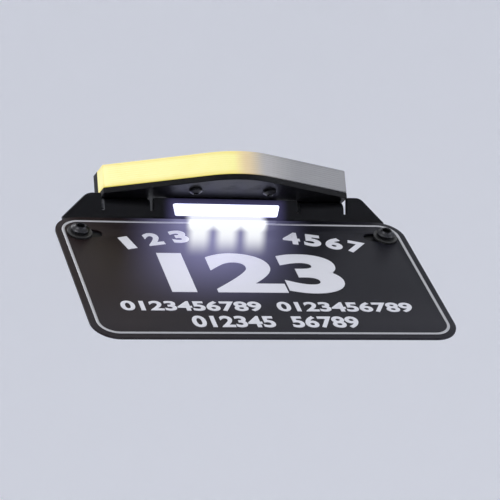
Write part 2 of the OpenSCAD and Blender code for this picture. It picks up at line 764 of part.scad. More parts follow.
mounting_plate();
plate_bracket();
light_bar_housing();
light_bar_lens();
left_led_board();
right_led_board();
left_led_chips();
right_led_chips();
light_bar_screws();
light_bar_gland();
plate_light_housing();
plate_light_lens();
plate_light_board();
plate_light_chips();
plate_light_gland();
plate_light_studs();
plate_light_nuts();
number_plate();
plate_bolts();
plate_bolt_washers();
plate_bolt_nuts();
bracket_bolts();
bracket_washers();
bracket_nuts();
wire_grommet();
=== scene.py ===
"""Tail tidy: its looks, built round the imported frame, in metres. +X right, +Y front, +Z up."""
import math

import bmesh
import bpy
from mathutils import Matrix, Vector


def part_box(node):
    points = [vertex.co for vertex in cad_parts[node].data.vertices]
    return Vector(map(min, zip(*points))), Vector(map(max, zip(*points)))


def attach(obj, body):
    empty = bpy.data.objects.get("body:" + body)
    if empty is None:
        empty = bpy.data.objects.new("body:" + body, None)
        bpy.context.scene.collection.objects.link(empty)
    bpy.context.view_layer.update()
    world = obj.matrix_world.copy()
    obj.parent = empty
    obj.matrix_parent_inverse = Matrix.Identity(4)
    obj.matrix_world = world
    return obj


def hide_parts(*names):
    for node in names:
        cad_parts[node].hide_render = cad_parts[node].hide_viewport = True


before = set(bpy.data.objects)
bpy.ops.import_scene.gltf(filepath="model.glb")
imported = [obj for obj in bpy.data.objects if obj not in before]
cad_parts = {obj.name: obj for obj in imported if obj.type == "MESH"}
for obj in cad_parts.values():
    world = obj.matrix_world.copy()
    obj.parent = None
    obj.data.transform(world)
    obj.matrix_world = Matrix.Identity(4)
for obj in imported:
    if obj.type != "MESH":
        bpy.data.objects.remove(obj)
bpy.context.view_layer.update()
MM = 0.001


# Mounting plate: 3 mm steel sheet, cut by laser and folded once across and once down each side,
# then powder coated black. The coat rounds the cut edges a little and has a faint orange peel.
class Flow:
    """A number running through a finish's nodes, so that shader maths reads as Python."""

    def __init__(self, finish, socket):
        self.finish, self.socket = finish, socket

    def maths(self, operation, *values):
        return self.finish.add("ShaderNodeMath", {"operation": operation}, *values)

    def __add__(self, other):
        return self.maths("ADD", self, other)

    def __sub__(self, other):
        return self.maths("SUBTRACT", self, other)

    def __rsub__(self, other):
        return self.maths("SUBTRACT", other, self)

    def __mul__(self, other):
        return self.maths("MULTIPLY", self, other)

    def __truediv__(self, other):
        return self.maths("DIVIDE", self, other)

    __radd__, __rmul__ = __add__, __mul__

    def size(self):
        return self.maths("ABSOLUTE", self)

    def fraction(self):
        return self.maths("FRACT", self)

    def at_least(self, other):
        return self.maths("MAXIMUM", self, other)

    def at_most(self, other):
        return self.maths("MINIMUM", self, other)

    def root(self):
        return self.maths("POWER", self, 0.5)

    def ramp(self, start, end):
        """0 before start and 1 after end, with a soft change between them; end may be the smaller."""
        settings = {"interpolation_type": "SMOOTHSTEP"}
        if start < end:
            return self.finish.add("ShaderNodeMapRange", settings, self, start, end, 0.0, 1.0)
        return self.finish.add("ShaderNodeMapRange", settings, self, end, start, 1.0, 0.0)


class Finish:
    """One material: its shader, and the nodes that say how it changes over a surface."""

    def __init__(self, name, colour, roughness, **sockets):
        """Takes the plain colour and roughness, and any other socket by name, such as coat_weight."""
        self.material = bpy.data.materials.new(name)
        self.material.use_nodes = True
        self.nodes = self.material.node_tree.nodes
        self.shader = self.nodes["Principled BSDF"]
        self.set("Base Color", colour)
        self.set("Roughness", roughness)
        self.set("Emission Color", (0, 0, 0))
        for socket, value in sockets.items():
            self.set(socket.replace("_", " ").title().replace("Ior", "IOR"), value)

    def feed(self, socket, value):
        if isinstance(value, Flow):
            self.material.node_tree.links.new(value.socket, socket)
        elif hasattr(socket.default_value, "__len__") and len(value) < len(socket.default_value):
            socket.default_value = (*value, 1.0)
        else:
            socket.default_value = value

    def set(self, socket, value):
        self.feed(self.shader.inputs[socket], value)

    def add(self, kind, settings, *values, out=None, **named):
        """Adds a node, and feeds its sockets in their order or by their identifiers."""
        node = self.nodes.new(kind)
        for key, value in settings.items():
            setattr(node, key, value)
        for socket, value in zip(node.inputs, values):
            self.feed(socket, value)
        sockets = {socket.identifier: socket for socket in node.inputs}
        for key, value in named.items():
            self.feed(sockets[key], value)
        results = {socket.identifier: socket for socket in node.outputs}
        return Flow(self, results[out] if out else node.outputs[0])

    def place(self, face=Matrix.Identity(4)):
        """Object coordinates, measured in the frame of a face."""
        seen = self.add("ShaderNodeTexCoord", {}, out="Object")
        return self.add("ShaderNodeMapping", {"vector_type": "TEXTURE"}, seen,
                        face.to_translation(), face.to_euler())

    def axes(self, vector):
        split = self.add("ShaderNodeSeparateXYZ", {}, vector)
        return [Flow(self, socket) for socket in split.socket.node.outputs]

    def noise(self, vector, grain, detail=2.0, roughness=0.5):
        """Noise from 0 to 1, whose lumps are about grain metres across."""
        return self.add("ShaderNodeTexNoise", {}, Vector=vector, Scale=1 / grain, Detail=detail,
                        Roughness=roughness)

    def mix(self, mask, first, second):
        return self.add("ShaderNodeMix", {"data_type": "RGBA"}, out="Result_Color",
                        Factor_Float=mask, A_Color=first, B_Color=second)

    def bump(self, height, depth):
        bumped = self.add("ShaderNodeBump", {}, Height=height, Distance=depth, Strength=1.0)
        self.set("Normal", bumped)


COAT_BLACK, COAT_DUSTY = (0.008, 0.008, 0.0095), (0.024, 0.023, 0.023)


def powder_coat(name, ior, **sockets):
    """Black powder coat: nearly black, satin, with orange peel and a trace of road dust."""
    coat = Finish(name, COAT_BLACK, 0.42, ior=ior, **sockets)
    here = coat.place()
    peel = coat.noise(here, 0.9 * MM, 3.0)
    dust = coat.noise(here, 14 * MM, 5.0, 0.6).ramp(0.5, 0.78)
    coat.set("Base Color", coat.mix(dust * 0.35, COAT_BLACK, COAT_DUSTY))
    coat.set("Roughness", 0.36 + dust * 0.16 + peel * 0.06)
    coat.bump(peel + coat.noise(here, 0.25 * MM) * 0.3, 0.04 * MM)
    return coat


def show(name, mesh, finish, slot, *nodes):
    """Puts a finished mesh in the scene as a piece that stands for its nodes."""
    mesh.materials.clear()
    mesh.materials.append(finish.material)
    piece = bpy.data.objects.new(name, mesh)
    bpy.context.scene.collection.objects.link(piece)
    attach(piece, "root")
    if nodes:
        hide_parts(*nodes)


def smooth(mesh, sharp):
    """Shades a mesh smooth, but for edges sharper than an angle in degrees."""
    mesh.polygons.foreach_set("use_smooth", [True] * len(mesh.polygons))
    mesh.set_sharp_from_angle(angle=math.radians(sharp))


def bench_piece(name, data):
    """An object that holds a shape only while it is worked on."""
    piece = bpy.data.objects.new(name, data)
    bpy.context.scene.collection.objects.link(piece)
    return piece


def taken_off(piece):
    """The mesh that a bench piece's modifiers make; the piece itself goes."""
    bpy.context.view_layer.update()
    seen = piece.evaluated_get(bpy.context.evaluated_depsgraph_get())
    mesh = bpy.data.meshes.new_from_object(seen)
    bpy.data.objects.remove(piece)
    return mesh


def settle(piece, sharp):
    """The mesh that a bench piece makes, smooth but for edges sharper than the angle."""
    mesh = taken_off(piece)
    for layer in ("custom_normal", "sharp_face"):
        if layer in mesh.attributes:
            mesh.attributes.remove(mesh.attributes[layer])
    smooth(mesh, sharp)
    return mesh


def flattened(mesh):
    """The mesh with normals that its large faces rule, so that flats between round edges look flat."""
    piece = bench_piece("flattened", mesh)
    ruled = piece.modifiers.new("normals", "WEIGHTED_NORMAL")
    ruled.mode, ruled.weight, ruled.keep_sharp = "FACE_AREA", 100, True
    return taken_off(piece)


def eased(node, edge, segments=2):
    """A node's own shape with its corners joined, flat faces merged and edges rounded."""
    join_within, flat_within, sharp = 0.002 * MM, math.radians(0.4), 38
    solid = bmesh.new()
    solid.from_mesh(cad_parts[node].data)
    bmesh.ops.remove_doubles(solid, verts=solid.verts, dist=join_within)
    bmesh.ops.dissolve_limit(solid, angle_limit=flat_within, verts=solid.verts, edges=solid.edges)
    mesh = bpy.data.meshes.new(node + "_eased")
    solid.to_mesh(mesh)
    solid.free()
    piece = bench_piece(node + "_eased", mesh)
    bevel = piece.modifiers.new("edge", "BEVEL")
    bevel.width, bevel.segments, bevel.limit_method = edge, segments, "ANGLE"
    bevel.angle_limit = math.radians(sharp)
    bevel.use_clamp_overlap = False
    bevel.loop_slide = False
    bevel.miter_outer = "MITER_SHARP"
    return flattened(settle(piece, sharp))


show("shelf_plate", eased("mounting_plate", 0.3 * MM), powder_coat("mounting plate coat", 1.19),
     "sheet", "mounting_plate")


# Plate bracket: 2.5 mm steel sheet, with two tabs folded under the shelf, the web with the light's
# window, and the flange that leans back. It has the same black powder coat as the mounting plate,
# with the plate light's glare painted on it as glow: a faint halo round the window and a bright strip
# below it.
LENS_PROUD = 1.5 * MM
LAMP_STEP = 14 * MM
BEAMS_EDGE = LAMP_STEP + 8 * MM, LAMP_STEP + 3 * MM
STRIP_HEAD, STRIP_FOOT = (-2.5 * MM, -0.5 * MM), (4.4 * MM, 3.6 * MM)
HALO_FADE = 6 * MM, -2 * MM
GLARE_STRIP_COLOUR, HALO_COLOUR = (0.85, 0.87, 1.0), (0.05, 0.045, 0.12)
BLACK = (0, 0, 0)
window_low, window_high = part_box("plate_light_lens")
WEB_Y = window_low.y + LENS_PROUD


def distance(x, y):
    return (x * x + y * y).root()


web_coat = powder_coat("bracket coat", 1.24, emission_strength=1.0)
x, y, z = web_coat.axes(web_coat.place())
on_web = y.ramp(WEB_Y + 0.5 * MM, WEB_Y + 0.1 * MM)
below = window_low.z - z
# Painted light: the plate light's glare, put in the coat as glow, a bright strip under the window and a
# faint halo round it.
glare_strip = below.ramp(*STRIP_HEAD) * below.ramp(*STRIP_FOOT) * x.size().ramp(*BEAMS_EDGE) * on_web
window_mid = (window_low.z + window_high.z) / 2
past_x = (x.size() - window_high.x).at_least(0.0)
past_z = ((z - window_mid).size() - (window_high.z - window_mid)).at_least(0.0)
glare_halo = distance(past_x, past_z).ramp(*HALO_FADE) * on_web
round_window = web_coat.mix(glare_halo, BLACK, HALO_COLOUR)
web_coat.set("Emission Color", web_coat.mix(glare_strip, round_window, GLARE_STRIP_COLOUR))
show("web_bracket", eased("plate_bracket", 0.28 * MM), web_coat, "sheet", "plate_bracket")

# Signal bar housing: a channel moulded in black ABS, with a fine spark-eroded texture, held by two
# screws from under the shelf. Its ends stop short where the lens folds round them.
moulded = Finish("moulded black", (0.009, 0.009, 0.01), 0.5, ior=1.28)
spark = moulded.noise(moulded.place(), 0.35 * MM, 4.0, 0.65)
moulded.set("Roughness", 0.44 + spark * 0.2)
moulded.bump(spark, 0.05 * MM)
show("bar_housing", eased("light_bar_housing", 0.3 * MM), moulded, "moulded_black", "light_bar_housing")

# Signal bar lens: one frosted acrylic moulding over both signals. It bends round the bar's point and
# folds round each end. Its face is fluted, and the flutes run along it and spread the lamps' light.
SHELF_ANGLE = math.radians(15)
TONGUE_BACK = 48 * MM
SEAT = 0.02 * MM
BAR_HALF, BAR_HIGH = 62.5 * MM, 11.5 * MM
BAR_ENDS_Y = -36 * MM
BAR_POINT, BAR_POINT_R = 28.5 * MM, 36 * MM
FACE_ANGLE = math.atan(BAR_POINT / BAR_HALF)
LENS_T, LENS_CORNER_R, LENS_EDGE_R = 2 * MM, 1 * MM, 0.5 * MM
SHARP_CORNER_R = 0.001 * MM
END_RETURN = 9 * MM
RIM, RIM_STEP = 0.9 * MM, 0.12 * MM
FLUTES, FLUTE_STEPS, FLUTE_DEEP, FLUTE_SINK = 9, 6, 0.09 * MM, 1.3
POINT_STEPS, FACE_STEPS, CORNER_STEPS = 8, 12, 6
on_shelf = Matrix.Translation((0, -TONGUE_BACK, 0)) @ Matrix.Rotation(-SHELF_ANGLE, 4, "X")
on_bar = on_shelf @ Matrix.Translation((0, 0, SEAT))


def lens_path(inset, corner_r):
    """Right half of the lens from above, from the bar's point round its end: places and ways out."""
    tip_y = BAR_ENDS_Y - BAR_POINT + inset / math.cos(FACE_ANGLE)
    half, r = BAR_HALF - inset, BAR_POINT_R - inset
    centre_y = tip_y + r / math.cos(FACE_ANGLE)
    path = []
    for i in range(POINT_STEPS + 1):
        a = FACE_ANGLE * i / POINT_STEPS
        path.append(((r * math.sin(a), centre_y - r * math.cos(a)), (math.sin(a), -math.cos(a))))
    out = (math.sin(FACE_ANGLE), -math.cos(FACE_ANGLE))
    along = (math.cos(FACE_ANGLE), math.sin(FACE_ANGLE))
    turn = math.pi / 2 - FACE_ANGLE
    back_off = corner_r * math.tan(turn / 2)
    corner = (half, tip_y + half * math.tan(FACE_ANGLE))
    start = (corner[0] - back_off * along[0], corner[1] - back_off * along[1])
    first = path[-1][0]
    for i in range(1, FACE_STEPS):
        k = i / FACE_STEPS
        path.append(((first[0] + (start[0] - first[0]) * k, first[1] + (start[1] - first[1]) * k), out))
    centre = (start[0] - corner_r * out[0], start[1] - corner_r * out[1])
    for i in range(CORNER_STEPS + 1):
        a = FACE_ANGLE + turn * i / CORNER_STEPS
        way = (math.sin(a), -math.cos(a))
        path.append(((centre[0] + corner_r * way[0], centre[1] + corner_r * way[1]), way))
    end_y = tip_y + BAR_HALF * math.tan(FACE_ANGLE) + (END_RETURN - inset) / math.cos(FACE_ANGLE)
    path.append(((half, end_y - inset * math.tan(FACE_ANGLE)), (1, 0)))
    return path


def lens_section():
    """The lens's outer face from its foot to its top: heights, and depths behind the outline."""
    low = [(LENS_EDGE_R * (1 - math.cos(a)), LENS_EDGE_R * (1 - math.sin(a)))
           for a in (math.radians(d) for d in (0, 22, 45, 67, 90))]
    fluted_from = RIM + RIM_STEP
    fluted_high = BAR_HIGH - 2 * fluted_from
    face = [(RIM, 0.0)]
    for i in range(FLUTES * FLUTE_STEPS + 1):
        ridge = abs(math.sin(math.pi * i / FLUTE_STEPS))
        face.append((fluted_from + fluted_high * i / (FLUTES * FLUTE_STEPS),
                     FLUTE_DEEP * (FLUTE_SINK - ridge)))
    face.append((BAR_HIGH - RIM, 0.0))
    return low + face + [(BAR_HIGH - z, depth) for z, depth in reversed(low)]


def lens_mesh():
    """The section swept from one end of the lens to the other; the flutes stop before its ends."""
    outer, inside = lens_path(0, LENS_CORNER_R), lens_path(LENS_T, SHARP_CORNER_R)
    section = lens_section()
    fluted_to = len(outer) - CORNER_STEPS - 2
    stations = [(-1, i) for i in range(len(outer) - 1, 0, -1)] + [(1, i) for i in range(len(outer))]
    lens_solid = bmesh.new()
    columns = []
    for side, i in stations:
        (x, y), (u, v) = outer[i]
        column = []
        for z, depth in section:
            if i >= fluted_to and LENS_EDGE_R < z < BAR_HIGH - LENS_EDGE_R:
                depth = 0.0
            column.append(lens_solid.verts.new((side * (x - u * depth), y - v * depth, z)))
        (x, y), _ = inside[i]
        column += [lens_solid.verts.new((side * x, y, z)) for z in (BAR_HIGH, 0.0)]
        columns.append(column)
    count = len(columns[0])
    for a, b in zip(columns, columns[1:]):
        for i in range(count):
            j = (i + 1) % count
            lens_solid.faces.new((a[i], b[i], b[j], a[j]))
    lens_solid.faces.new(columns[0])
    lens_solid.faces.new(reversed(columns[-1]))
    bmesh.ops.remove_doubles(lens_solid, verts=lens_solid.verts, dist=0.003 * MM)
    bmesh.ops.recalc_face_normals(lens_solid, faces=lens_solid.faces)
    mesh = bpy.data.meshes.new("lens")
    lens_solid.to_mesh(mesh)
    lens_solid.free()
    mesh.transform(on_bar)
    smooth(mesh, 30)
    return mesh


FROST, FROST_PALE = (0.3, 0.295, 0.305), (0.41, 0.405, 0.415)
LIT, LIT_EDGE, FADING = (0.74, 0.69, 0.15), (0.68, 0.57, 0.05), (0.52, 0.37, 0.11)
SPILL = (0.13, 0.12, 0.115)
lens = Finish("frosted acrylic", FROST_PALE, 0.34, ior=1.49, coat_weight=0.3, coat_roughness=0.12,
              emission_strength=1.0)
here = lens.place(on_shelf)
across, back, up = lens.axes(here)
drawn_out = lens.add("ShaderNodeCombineXYZ", {}, across * 0.05, back * 0.05, up)
streak = lens.noise(drawn_out, 0.5 * MM, 3.0)
blotch = lens.noise(here, 9 * MM)
lens.set("Base Color", lens.mix(streak * 0.6, FROST, FROST_PALE))
lens.set("Roughness", 0.3 + streak * 0.1)
from_edge = up.at_most(BAR_HIGH - up)
edge_tone = (from_edge.ramp(2.6 * MM, 0.4 * MM) + blotch.ramp(0.4, 0.75) * 0.35).at_most(1.0)
glow = lens.mix(across.ramp(3 * MM, -5 * MM), FADING, lens.mix(edge_tone, LIT, LIT_EDGE))
unlit_half = lens.mix(across.ramp(34 * MM, 10 * MM), BLACK, SPILL)
lens.set("Emission Color", lens.mix(across.ramp(14 * MM, 1 * MM), unlit_half, glow))
lens.bump(streak, 0.02 * MM)
show("bar_lens", lens_mesh(), lens, "bar_lens", "light_bar_lens")

# Circuit boards and lamps: white solder mask over glass fibre, with copper tracks that show through
# it, and a row of amber lamps on each board of the bar. The plate light has three white lamps.
SOLDER_MASK, COPPER = (0.7, 0.71, 0.68), (0.5, 0.46, 0.36)
TRACK_STEP, TRACK_SLANT = 2.2 * MM, 0.45


def board_mask():
    board = Finish("solder mask", SOLDER_MASK, 0.4)
    x, y, _ = board.axes(board.place())
    track = ((x + y * TRACK_SLANT) / TRACK_STEP).fraction()
    copper = track.ramp(0.3, 0.36) * track.ramp(0.7, 0.64)
    board.set("Base Color", board.mix(copper, SOLDER_MASK, COPPER))
    board.bump(copper, 0.03 * MM)
    return board


def lamp(name, colour):
    glaze = Finish(name, colour, 0.3, coat_weight=0.5)
    grain = glaze.noise(glaze.place(), 0.3 * MM)
    glaze.set("Roughness", 0.22 + grain * 0.2)
    glaze.set("Base Color", glaze.mix(grain, colour, tuple(c * 0.8 for c in colour)))
    return glaze


boards = board_mask()
amber = lamp("amber lamp", (0.9, 0.6, 0.12))
white = lamp("white lamp", (0.95, 0.9, 0.6))
for node, finish, slot, edge in (("left_led_board", boards, "board", 0.1 * MM),
                                 ("right_led_board", boards, "board", 0.1 * MM),
                                 ("plate_light_board", boards, "board", 0.1 * MM),
                                 ("left_led_chips", amber, "amber_lamp", 0.12 * MM),
                                 ("right_led_chips", amber, "amber_lamp", 0.12 * MM),
                                 ("plate_light_chips", white, "white_lamp", 0.15 * MM)):
    show(node + "_dressed", eased(node, edge), finish, slot, node)

# Plate light: a clear lens pushed through the web's window from behind, lit white by three lamps,
# in a small moulded housing whose ears sit over two studs.
BETWEEN_LAMPS, BY_A_LAMP = (0.62, 0.63, 1.0), (0.76, 0.78, 1.0)
light_lens = Finish("clear acrylic lit white", (0.8, 0.82, 0.9), 0.15, coat_weight=0.5,
                    emission_strength=1.7)
here = light_lens.place()
across, _, _ = light_lens.axes(here)
from_lamp = ((across / LAMP_STEP + 100.5).fraction() - 0.5).size()
hot = (1 - from_lamp * 1.6).at_least(0.0)
light_lens.set("Emission Color", light_lens.mix(hot, BETWEEN_LAMPS, BY_A_LAMP))
light_lens.bump(light_lens.noise(here, 1.2 * MM), 0.03 * MM)
show("light_lens", eased("plate_light_lens", 0.35 * MM, 3), light_lens, "light_lens", "plate_light_lens")
show("light_housing", eased("plate_light_housing", 0.25 * MM), moulded, "moulded_black",
     "plate_light_housing")

# Number plate: 1.2 mm aluminium with a raised border, rounded corners and two slots at its top. It is
# painted black, and silver on the border. Its digits are plain numbers, as on a sample plate.
LEAN = math.radians(55)
FOLD_R, PLATE_GAP = 2 * MM, 1.1 * MM
PLATE_W, PLATE_H, PLATE_T, PLATE_CORNER = 177.8 * MM, 101.6 * MM, 1.2 * MM, 12.7 * MM
BORDER_IN, BORDER_W, BORDER_RISE, BORDER_SINK = 3.75 * MM, 1.5 * MM, 0.4 * MM, 0.3 * MM
BOLT_X, BOLT_DROP = 77.7 * MM, 14.3 * MM
SLOT_IN, SLOT_LONG, SLOT_WIDE = 3.7 * MM, 15 * MM, 7 * MM
PLATE_DOWN = FOLD_R * math.tan(LEAN / 2) + PLATE_GAP
plate_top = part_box("number_plate")[1].z
WEB_FOOT_Z = plate_top - (PLATE_T + SEAT) * math.sin(LEAN) + PLATE_DOWN * math.cos(LEAN)
on_lean = Matrix.Translation((0, WEB_Y, WEB_FOOT_Z)) @ Matrix.Rotation(math.pi / 2 - LEAN, 4, "X")
on_plate = on_lean @ Matrix.Translation((0, -PLATE_DOWN - PLATE_H / 2, SEAT))


def round_ring(half_w, half_h, r, steps=10):
    """Points of a rectangle with round corners, anticlockwise."""
    return [(sx * (half_w - r) + r * math.cos(a + b), sy * (half_h - r) + r * math.sin(a + b))
            for sx, sy, a in ((1, 1, 0), (-1, 1, math.pi / 2), (-1, -1, math.pi), (1, -1, 1.5 * math.pi))
            for b in (math.pi / 2 * k / steps for k in range(steps + 1))]


def slot_ring(x, y, long, wide, steps=8):
    """Points of a slot with round ends, anticlockwise."""
    ring = []
    for side, a in ((1, -math.pi / 2), (-1, math.pi / 2)):
        ring += [(x + side * (long - wide) / 2 + wide / 2 * math.cos(a + math.pi * k / steps),
                  y + wide / 2 * math.sin(a + math.pi * k / steps)) for k in range(steps + 1)]
    return ring


def flat_solid(name, rings, thick, edge):
    """A flat sheet with holes, its edges rounded, lying from Z 0 up."""
    curve = bpy.data.curves.new(name, "CURVE")
    curve.dimensions, curve.fill_mode = "2D", "BOTH"
    for ring in rings:
        spline = curve.splines.new("POLY")
        spline.points.add(len(ring) - 1)
        for point, (x, y) in zip(spline.points, ring):
            point.co = (x, y, 0, 1)
        spline.use_cyclic_u = True
    curve.extrude, curve.bevel_depth, curve.bevel_resolution = thick / 2 - edge, edge, 2
    curve.offset = -edge
    mesh = settle(bench_piece(name, curve), 30)
    mesh.transform(Matrix.Translation((0, 0, thick / 2)))
    return mesh


def joined(name, *meshes):
    solid = bmesh.new()
    for mesh in meshes:
        solid.from_mesh(mesh)
    bmesh.ops.remove_doubles(solid, verts=solid.verts, dist=0.001 * MM)
    made = bpy.data.meshes.new(name)
    solid.to_mesh(made)
    solid.free()
    smooth(made, 35)
    return made


def border_bead(rounds=8):
    """The raised border: a low round bead that runs round the plate, sunk a little into its face."""
    half_w, half_h = PLATE_W / 2 - BORDER_IN, PLATE_H / 2 - BORDER_IN
    turns = [math.pi * k / rounds for k in range(rounds + 1)]
    profile = [(-BORDER_W / 2, -BORDER_SINK)]
    profile += [(-BORDER_W / 2 * math.cos(a), BORDER_RISE * math.sin(a)) for a in turns]
    profile += [(BORDER_W / 2, -BORDER_SINK)]
    bead = bmesh.new()
    rings = []
    for offset, z in profile:
        ring = round_ring(half_w + offset, half_h + offset, PLATE_CORNER - BORDER_IN + offset)
        rings.append([bead.verts.new((x, y, PLATE_T + z)) for x, y in ring])
    rings.append(rings[0])
    for a, b in zip(rings, rings[1:]):
        for i in range(len(a)):
            j = (i + 1) % len(a)
            bead.faces.new((a[i], a[j], b[j], b[i]))
    bmesh.ops.recalc_face_normals(bead, faces=bead.faces)
    made = bpy.data.meshes.new("bead")
    bead.to_mesh(made)
    bead.free()
    return made


slots = [slot_ring(side * (BOLT_X - SLOT_IN), PLATE_H / 2 - BOLT_DROP, SLOT_LONG, SLOT_WIDE)
         for side in (-1, 1)]
sheet = flat_solid("plate sheet", [round_ring(PLATE_W / 2, PLATE_H / 2, PLATE_CORNER)] + slots,
                   PLATE_T, 0.2 * MM)
plate_mesh = joined("plate", sheet, border_bead())
plate_mesh.transform(on_plate)

# Number plate, its paint: black, paler towards the foot, and silver on the border, with a warm cast of
# light painted on its left. The plate light's three beams and soft pool of light are painted on it as
# glow.
WARM_LIGHT_CAST, PAINT_COOL = (0.02, 0.0115, 0.0105), (0.008, 0.008, 0.0135)
PAINT_LOW, PAINT_CLOUD = (0.045, 0.043, 0.052), (0.018, 0.017, 0.021)
BORDER_SILVER = (0.55, 0.55, 0.57)
BEAM_COLOUR, POOL_COLOUR = (0.95, 0.97, 1.0), (0.23, 0.225, 0.42)
BEAM_SLANT = 0.3
BEAM_SIDE, BEAM_END, BEAMS_MERGE = (7.5 * MM, 2 * MM), (35 * MM, 11 * MM), (12 * MM, 4 * MM)
POOL_LEFT, POOL_SIDE, POOL_END = 5 * MM, (50 * MM, 2 * MM), (86 * MM, 8 * MM)


def lamp_light(x, y):
    """How brightly the plate light's three lamps fall on the plate: a wide soft pool, and beams."""
    down = PLATE_H / 2 - y
    lean_x = x + down * BEAM_SLANT
    pool = (lean_x + POOL_LEFT).size().ramp(*POOL_SIDE) * down.ramp(*POOL_END)
    merged = lean_x.size().ramp(*BEAMS_EDGE) * down.ramp(*BEAMS_MERGE)
    middle, left, right = ((lean_x - lamp_x).size().ramp(*BEAM_SIDE)
                           for lamp_x in (0, -LAMP_STEP, LAMP_STEP))
    return pool, ((middle + left + right) * down.ramp(*BEAM_END) + merged).at_most(1.0)


paint = Finish("plate paint", PAINT_COOL, 0.36, ior=1.24, emission_strength=1.0)
here = paint.place(on_plate)
x, y, z = paint.axes(here)
fine = paint.noise(here, 0.5 * MM, 3.0)
cloud = paint.noise(here, 22 * MM, 4.0)
past_x = (x.size() - (PLATE_W / 2 - PLATE_CORNER)).at_least(0.0)
past_y = (y.size() - (PLATE_H / 2 - PLATE_CORNER)).at_least(0.0)
from_line = (distance(past_x, past_y) - (PLATE_CORNER - BORDER_IN)).size()
on_bead = z.ramp(PLATE_T + 0.03 * MM, PLATE_T + 0.1 * MM)
silver = from_line.ramp(BORDER_W / 2 + 0.08 * MM, BORDER_W / 2 - 0.12 * MM) * on_bead
rubbed = silver * (1 - fine.ramp(0.62, 0.75) * 0.5)
# Painted light: a warm cast of light on the left of the black.
black = paint.mix(x.ramp(-75 * MM, 10 * MM), WARM_LIGHT_CAST, PAINT_COOL)
black = paint.mix(y.ramp(-5 * MM, -45 * MM) * 0.4, black, PAINT_LOW)
black = paint.mix(cloud * 0.4, black, PAINT_CLOUD)
paint.set("Base Color", paint.mix(rubbed, black, BORDER_SILVER))
paint.set("Metallic", rubbed * 0.5)
paint.set("Roughness", 0.34 + cloud * 0.1 + fine * 0.06)
paint.bump(fine, 0.03 * MM)
# Painted light: the plate light's beams and pool, put in the paint as glow.
pool, beams = lamp_light(x, y)
facing = z.ramp(0.1 * MM, 0.2 * MM)
pool_glow = paint.mix(pool * facing, BLACK, POOL_COLOUR)
paint.set("Emission Color", paint.mix(beams * facing, pool_glow, BEAM_COLOUR))
show("plate", plate_mesh, paint, "plate", "number_plate")

# Number plate, its digits: four rows of silver print, raised 0.25 mm. The top row follows an arc and
# leaves its middle free for the beams.
PRINT, PRINT_WORN = (0.82, 0.82, 0.87), (0.6, 0.6, 0.66)
PRINT_BEAM, PRINT_POOL = (1, 1, 1), (0.3, 0.29, 0.45)
PRINT_T, PRINT_SINK = 0.3 * MM, 0.05 * MM
BOLD, PLAIN = 0.035, 0.024
ARC_TOP, ARC_R, ARC_DIGIT_H = 36.6 * MM, 192 * MM, 10.6 * MM
ARC_XS = (-56, -42.5, -29, 28, 38.5, 49, 59.5)

print_paint = Finish("silver print", PRINT, 0.45, metallic=0.15, emission_strength=1.0)
here = print_paint.place(on_plate)
x, y, _ = print_paint.axes(here)
speck = print_paint.noise(here, 0.5 * MM, 4.0)
print_paint.set("Base Color", print_paint.mix(speck.ramp(0.62, 0.8), PRINT, PRINT_WORN))
print_paint.bump(speck, 0.02 * MM)
# Painted light: the plate light's beams and pool, put in the print as glow too.
pool, beams = lamp_light(x, y)
pool_glow = print_paint.mix(pool, BLACK, PRINT_POOL)
print_paint.set("Emission Color", print_paint.mix(beams, pool_glow, PRINT_BEAM))


def digits(text, weight, height, width, middle, turn=0.0):
    """A row of raised digits, of a height and overall width, turned and set on a point of the plate."""
    row = bpy.data.curves.new("digits", "FONT")
    row.body, row.offset = text, weight
    row.extrude, row.bevel_depth = 0.012, 0.006
    row.resolution_u, row.bevel_resolution = 11, 1
    mesh = settle(bench_piece("digits", row), 30)
    low, high = ([pick(v.co[i] for v in mesh.vertices) for i in range(3)] for pick in (min, max))
    mesh.transform(Matrix.Translation([-(low[0] + high[0]) / 2, -(low[1] + high[1]) / 2, -low[2]]))
    mesh.transform(Matrix.Diagonal((width / (high[0] - low[0]), height / (high[1] - low[1]),
                                    PRINT_T / (high[2] - low[2]), 1)))
    mesh.transform(Matrix.Translation((*middle, PLATE_T - PRINT_SINK)) @ Matrix.Rotation(turn, 4, "Z"))
    return mesh


rows = [digits("123", BOLD, 34 * MM, 88 * MM, (0, 3 * MM)),
        digits("0123456789  0123456789", PLAIN, 8 * MM, 143 * MM, (0, -25.3 * MM)),
        digits("012345  56789", PLAIN, 9.4 * MM, 81 * MM, (0, -37.9 * MM))]
for digit, x in zip("1234567", ARC_XS):
    a = math.asin(x * MM / ARC_R)
    width = 5 * MM if digit == "1" else 8.5 * MM
    rows.append(digits(digit, BOLD, ARC_DIGIT_H, width,
                       (x * MM, ARC_TOP - ARC_R * (1 - math.cos(a))), -a))
number_mesh = joined("numbers", *rows)
number_mesh.transform(on_plate)
show("plate_digits", number_mesh, print_paint, "plate")


# Screws, washers and nuts: black button heads with a hexagon socket, zinc lock nuts with a nylon
# collar, and plain washers. One tree sets a turned piece on each of its places and cuts its thread.
BUTTON_HEADS = {4: (7.6, 2.2, 2.5), 5: (9.5, 2.75, 3), 6: (10.5, 3.3, 4)}
LOCK_NUTS = {3: (5.5, 2.4), 5: (8, 5), 6: (10, 6)}
WASHER_T = 1.2 * MM
HEXAGON = math.pi / 6


